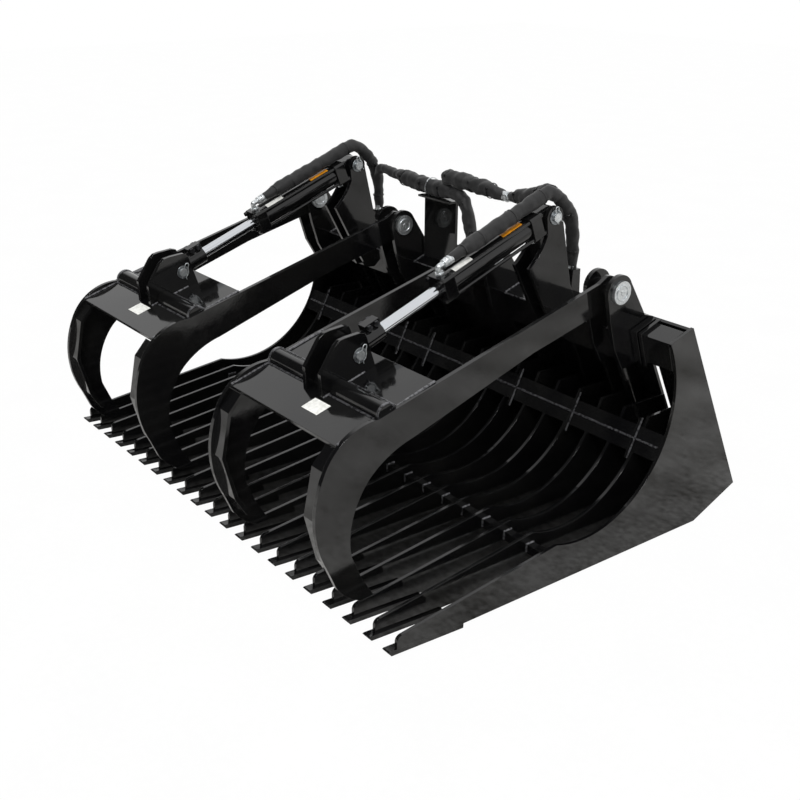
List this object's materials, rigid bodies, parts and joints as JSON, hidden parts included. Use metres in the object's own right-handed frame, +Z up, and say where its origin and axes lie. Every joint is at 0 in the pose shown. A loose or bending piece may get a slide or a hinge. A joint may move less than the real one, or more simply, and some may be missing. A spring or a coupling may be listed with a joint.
{
  "type": "grapple bucket",
  "caption": "Skeleton bucket with tined floor and two hydraulic grapples that clamp down over the load, for the front of a loader.",
  "frame": {"origin": "centre of the footprint, on the ground the bucket stands on", "axes": "+X across the bucket to its right seen from behind the teeth looking rearward, +Y rearward from the teeth to the attachment face, +Z up"},
  "size_m": [1.724, 1.3873, 0.9372],
  "materials": {
    "black_paint": "gloss",
    "zinc_plate": "satin",
    "chrome": "polished",
    "hose_sleeve": "matte"
  },
  "bodies": {
    "bucket": {"attach_foot_lip": "black_paint", "attach_top_lip": "black_paint", "base_pins": "zinc_plate", "box_end_plates": "black_paint", "carrier_plate": "black_paint", "cylinder_towers": "black_paint", "front_cross_bar": "black_paint", "hose_mounts": "black_paint", "pivot_ears": "black_paint", "pivot_pins": "zinc_plate", "rear_hoses": "hose_sleeve", "rear_ribs": "black_paint", "rear_strip": "black_paint", "side_plate_left": "black_paint", "side_plate_right": "black_paint", "tine_centre": "black_paint", "tines_inner_left": "black_paint", "tines_inner_right": "black_paint", "tines_outer_left": "black_paint", "tines_outer_right": "black_paint", "tooth_bars": "black_paint", "top_tubes": "black_paint", "torque_box": "black_paint", "tube_collars": "black_paint", "uprights": "black_paint", "wing_plates": "black_paint"},
    "right_grapple": {"claw_bushings_right": "black_paint", "claw_plates_right": "black_paint", "claw_stiffeners_right": "black_paint", "cross_plate_right": "black_paint", "cross_tube_right": "black_paint", "rod_lugs_right": "black_paint", "rod_pin_right": "zinc_plate"},
    "right_cylinder": {"barrel_right": "black_paint", "base_cap_right": "black_paint", "base_eye_right": "black_paint", "hose_sleeve_right": "hose_sleeve", "port_elbows_right": "zinc_plate", "rod_cap_right": "black_paint", "tie_rods_right": "black_paint"},
    "right_rod": {"clamp_bolts_right": "zinc_plate", "piston_rod_right": "chrome", "rod_end_right": "black_paint"},
    "left_grapple": {"claw_bushings_left": "black_paint", "claw_plates_left": "black_paint", "claw_stiffeners_left": "black_paint", "cross_plate_left": "black_paint", "cross_tube_left": "black_paint", "rod_lugs_left": "black_paint", "rod_pin_left": "zinc_plate"},
    "left_cylinder": {"barrel_left": "black_paint", "base_cap_left": "black_paint", "base_eye_left": "black_paint", "hose_sleeve_left": "hose_sleeve", "port_elbows_left": "zinc_plate", "rod_cap_left": "black_paint", "tie_rods_left": "black_paint"},
    "left_rod": {"clamp_bolts_left": "zinc_plate", "piston_rod_left": "chrome", "rod_end_left": "black_paint"}
  },
  "joints": [
    {"name": "right_grapple_pivot", "type": "hinge", "parent": "bucket", "child": "right_grapple", "pos_m": [0.456, 0.24975, 0.7121], "axis": [-1, 0, 0], "range_deg": [0, 60]},
    {"name": "right_cylinder_swing", "type": "hinge", "parent": "bucket", "child": "right_cylinder", "pos_m": [0.456, 0.25155, 0.8632], "axis": [-1, 0, 0], "range_deg": [0, 60.97]},
    {"name": "right_rod_slide", "type": "slide", "parent": "right_cylinder", "child": "right_rod", "axis": [0, 0.9367, 0.3502], "range_m": [0, 0.15081]},
    {"name": "left_grapple_pivot", "type": "hinge", "parent": "bucket", "child": "left_grapple", "pos_m": [-0.456, 0.24975, 0.7121], "axis": [-1, 0, 0], "range_deg": [0, 60]},
    {"name": "left_cylinder_swing", "type": "hinge", "parent": "bucket", "child": "left_cylinder", "pos_m": [-0.456, 0.25155, 0.8632], "axis": [-1, 0, 0], "range_deg": [0, 60.97]},
    {"name": "left_rod_slide", "type": "slide", "parent": "left_cylinder", "child": "left_rod", "axis": [0, 0.9367, 0.3502], "range_m": [0, 0.15081]}
  ],
  "couplings": [
    {"joint": "right_cylinder_swing", "follows": "right_grapple_pivot", "ratio": 1.0153},
    {"joint": "right_rod_slide", "follows": "right_grapple_pivot", "m_per_rad": 0.14392},
    {"joint": "left_cylinder_swing", "follows": "left_grapple_pivot", "ratio": 1.0153},
    {"joint": "left_rod_slide", "follows": "left_grapple_pivot", "m_per_rad": 0.14392}
  ]
}
